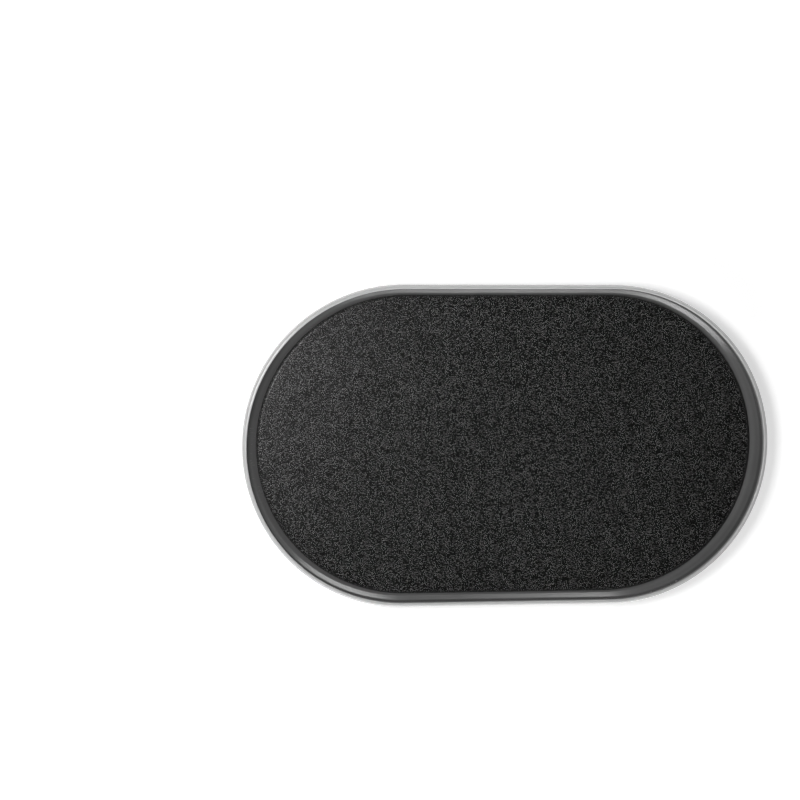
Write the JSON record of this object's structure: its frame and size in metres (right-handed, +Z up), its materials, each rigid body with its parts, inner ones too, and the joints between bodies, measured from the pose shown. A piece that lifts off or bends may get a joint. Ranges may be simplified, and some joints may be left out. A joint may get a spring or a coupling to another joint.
{
  "type": "furniture slider",
  "caption": "Large oval slider: a shallow moulded dish with a sloped wall and upright rim, and a recessed foam grip pad that a furniture leg stands on.",
  "frame": {"origin": "centre of the sliding face, at the level of the floor it slides on", "axes": "+Z up out of the dish, from the sliding face to the pad; +X along the slider; +Y across it"},
  "size_m": [0.2412, 0.146, 0.018],
  "materials": {
    "dish_plastic": "satin moulded grey plastic",
    "pad_foam": "matt grained black foam rubber",
    "film": "matt adhesive film"
  },
  "bodies": {
    "root": {"slider_dish": "dish_plastic", "grip_pad": "pad_foam", "adhesive_film": "film"}
  },
  "joints": []
}
